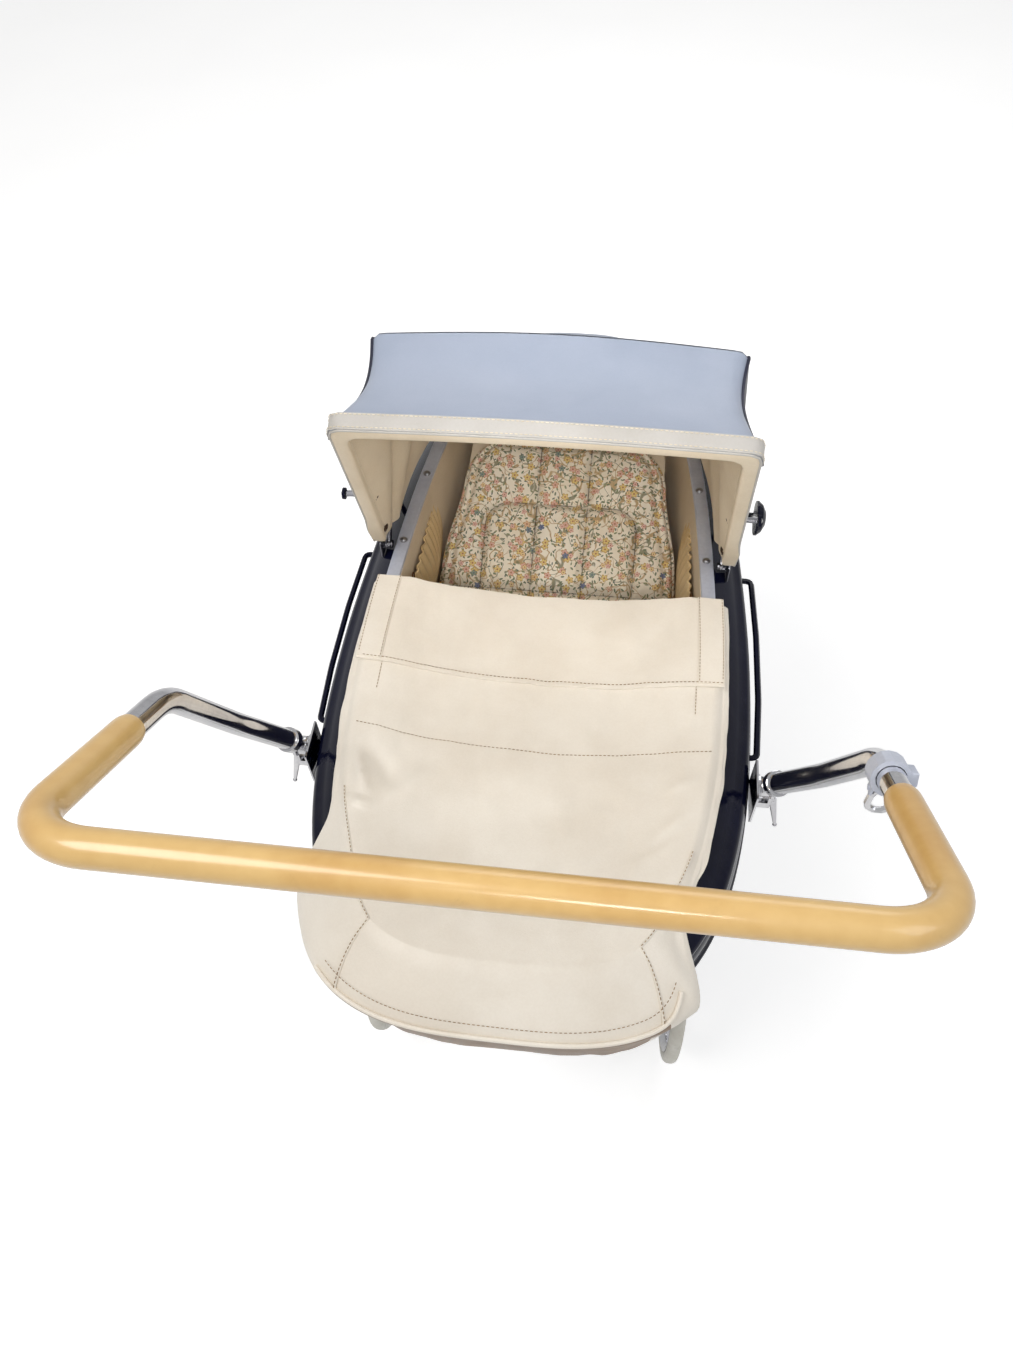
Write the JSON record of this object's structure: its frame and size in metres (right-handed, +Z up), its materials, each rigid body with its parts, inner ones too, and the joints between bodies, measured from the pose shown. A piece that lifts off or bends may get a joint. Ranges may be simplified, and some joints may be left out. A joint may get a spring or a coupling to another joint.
{
  "type": "pram",
  "caption": "Coach-built pram with a boat-shaped body, folding hood, apron, drop handle, reclining quilted backrest and sprung chassis with spoked wheels.",
  "frame": {"origin": "on the floor under the middle of the pram", "axes": "+Z up, +Y away from the pusher towards the hood, +X the pusher's right"},
  "size_m": [0.615, 0.9642, 1.03],
  "materials": {
    "navy_enamel": "gloss enamel",
    "satin_aluminium": "satin",
    "chrome_plate": "polished",
    "cream_leathercloth": "grained, satin",
    "pale_hood_cloth": "grained, satin",
    "quilted_cotton": "printed cotton",
    "ivory_grip": "smooth",
    "white_rubber": "matt",
    "plywood": "sealed",
    "tan_leather": "waxed"
  },
  "bodies": {
    "root": {"body_hull": "navy_enamel", "rim_band": "satin_aluminium", "side_lining": "cream_leathercloth", "pocket_left": "cream_leathercloth", "pocket_right": "cream_leathercloth", "mattress": "cream_leathercloth", "apron": "cream_leathercloth", "floor_board": "plywood", "backrest_hinge": "chrome_plate", "hood_bracket_left": "chrome_plate", "hood_bracket_right": "chrome_plate", "handle_bracket_left": "chrome_plate", "handle_bracket_right": "chrome_plate", "stay_boss_left": "navy_enamel", "stay_boss_right": "navy_enamel", "side_rail_left": "navy_enamel", "side_rail_right": "navy_enamel", "chassis_frame": "navy_enamel", "body_cradle": "navy_enamel", "c_spring_handle_end_left": "chrome_plate", "c_spring_handle_end_right": "chrome_plate", "c_spring_hood_end_left": "chrome_plate", "c_spring_hood_end_right": "chrome_plate", "axle_handle_end": "chrome_plate", "axle_hood_end": "chrome_plate", "strap_handle_end_left": "tan_leather", "strap_handle_end_right": "tan_leather", "strap_hood_end_left": "tan_leather", "strap_hood_end_right": "tan_leather"},
    "backrest": {"backrest_board": "cream_leathercloth", "quilt_pad": "quilted_cotton"},
    "backrest_prop": {"backrest_prop": "chrome_plate"},
    "hood_rear": {"hood_bow_rear": "chrome_plate", "hood_panel_rear": "pale_hood_cloth"},
    "hood_middle": {"hood_bow_middle": "chrome_plate", "hood_panel_middle": "pale_hood_cloth"},
    "hood_front": {"hood_bow_front": "chrome_plate", "hood_panel_front": "pale_hood_cloth"},
    "stay_lower_left": {"stay_lower_left": "navy_enamel", "stay_knob_left": "navy_enamel"},
    "stay_upper_left": {"stay_upper_left": "navy_enamel"},
    "lock_lever_left": {"lock_lever_left": "chrome_plate"},
    "stay_lower_right": {"stay_lower_right": "navy_enamel", "stay_knob_right": "navy_enamel"},
    "stay_upper_right": {"stay_upper_right": "navy_enamel"},
    "lock_lever_right": {"lock_lever_right": "chrome_plate"},
    "handle": {"handle_tube": "chrome_plate", "handle_grip": "ivory_grip", "hook_clamp": "satin_aluminium"},
    "bag_hook": {"bag_hook": "chrome_plate"},
    "brake": {"brake_bar": "chrome_plate"},
    "wheel_handle_end_left": {"wheel_handle_end_left": "chrome_plate", "tyre_handle_end_left": "white_rubber"},
    "wheel_handle_end_right": {"wheel_handle_end_right": "chrome_plate", "tyre_handle_end_right": "white_rubber"},
    "wheel_hood_end_left": {"wheel_hood_end_left": "chrome_plate", "tyre_hood_end_left": "white_rubber"},
    "wheel_hood_end_right": {"wheel_hood_end_right": "chrome_plate", "tyre_hood_end_right": "white_rubber"}
  },
  "joints": [
    {"name": "backrest_tilt", "type": "hinge", "parent": "root", "child": "backrest", "pos_m": [0, 0.03, 0.512], "axis": [1, 0, 0], "range_deg": [-20, 0]},
    {"name": "prop_swing", "type": "hinge", "parent": "backrest", "child": "backrest_prop", "pos_m": [0, 0.20796, 0.60377], "axis": [1, 0, 0], "range_deg": [0, 80.5]},
    {"name": "hood_fold", "type": "hinge", "parent": "root", "child": "hood_rear", "pos_m": [0, 0.078, 0.7], "axis": [1, 0, 0], "range_deg": [-36, 0], "deforming": ["hood_panel_rear"]},
    {"name": "hood_middle_fold", "type": "hinge", "parent": "hood_rear", "child": "hood_middle", "pos_m": [0, 0.078, 0.7], "axis": [1, 0, 0], "range_deg": [-24.8, 0], "deforming": ["hood_panel_middle"]},
    {"name": "hood_front_fold", "type": "hinge", "parent": "hood_middle", "child": "hood_front", "pos_m": [0, 0.078, 0.7], "axis": [1, 0, 0], "range_deg": [-19.9, 0], "deforming": ["hood_panel_front"]},
    {"name": "stay_foot_left", "type": "hinge", "parent": "root", "child": "stay_lower_left", "pos_m": [-0.221, 0.26, 0.598], "axis": [1, 0, 0], "range_deg": [-84.3, 0]},
    {"name": "stay_elbow_left", "type": "hinge", "parent": "stay_lower_left", "child": "stay_upper_left", "pos_m": [-0.2244, 0.14, 0.718], "axis": [1, 0, 0], "range_deg": [0, 112.3]},
    {"name": "stay_foot_right", "type": "hinge", "parent": "root", "child": "stay_lower_right", "pos_m": [0.221, 0.26, 0.598], "axis": [1, 0, 0], "range_deg": [-84.3, 0]},
    {"name": "stay_elbow_right", "type": "hinge", "parent": "stay_lower_right", "child": "stay_upper_right", "pos_m": [0.2244, 0.14, 0.718], "axis": [1, 0, 0], "range_deg": [0, 112.3]},
    {"name": "handle_swing", "type": "hinge", "parent": "root", "child": "handle", "pos_m": [0, -0.176, 0.654], "axis": [1, 0, 0], "range_deg": [0, 70]},
    {"name": "hook_swing", "type": "hinge", "parent": "handle", "child": "bag_hook", "pos_m": [0.28565, -0.30129, 0.8888], "axis": [1, 0, 0], "range_deg": [-50, 40]},
    {"name": "lock_left", "type": "hinge", "parent": "root", "child": "lock_lever_left", "pos_m": [-0.256, -0.174, 0.634], "axis": [1, 0, 0], "range_deg": [0, 35]},
    {"name": "lock_right", "type": "hinge", "parent": "root", "child": "lock_lever_right", "pos_m": [0.256, -0.174, 0.634], "axis": [1, 0, 0], "range_deg": [0, 35]},
    {"name": "brake_press", "type": "hinge", "parent": "root", "child": "brake", "pos_m": [0, 0.03, 0.285], "axis": [1, 0, 0], "range_deg": [0, 30]},
    {"name": "wheel_spin_handle_end_left", "type": "hinge", "parent": "root", "child": "wheel_handle_end_left", "pos_m": [-0.202, -0.158, 0.175], "axis": [1, 0, 0], "continuous": true},
    {"name": "wheel_spin_handle_end_right", "type": "hinge", "parent": "root", "child": "wheel_handle_end_right", "pos_m": [0.202, -0.158, 0.175], "axis": [1, 0, 0], "continuous": true},
    {"name": "wheel_spin_hood_end_left", "type": "hinge", "parent": "root", "child": "wheel_hood_end_left", "pos_m": [-0.202, 0.292, 0.175], "axis": [1, 0, 0], "continuous": true},
    {"name": "wheel_spin_hood_end_right", "type": "hinge", "parent": "root", "child": "wheel_hood_end_right", "pos_m": [0.202, 0.292, 0.175], "axis": [1, 0, 0], "continuous": true}
  ],
  "couplings": [
    {"joint": "prop_swing", "follows": "backrest_tilt", "ratio": -4},
    {"joint": "hood_middle_fold", "follows": "hood_fold", "ratio": 0.688},
    {"joint": "hood_front_fold", "follows": "hood_fold", "ratio": 0.552},
    {"joint": "stay_foot_left", "follows": "hood_fold", "ratio": 2.34},
    {"joint": "stay_elbow_left", "follows": "hood_fold", "ratio": -3.116},
    {"joint": "stay_foot_right", "follows": "hood_fold", "ratio": 2.34},
    {"joint": "stay_elbow_right", "follows": "hood_fold", "ratio": -3.116}
  ]
}
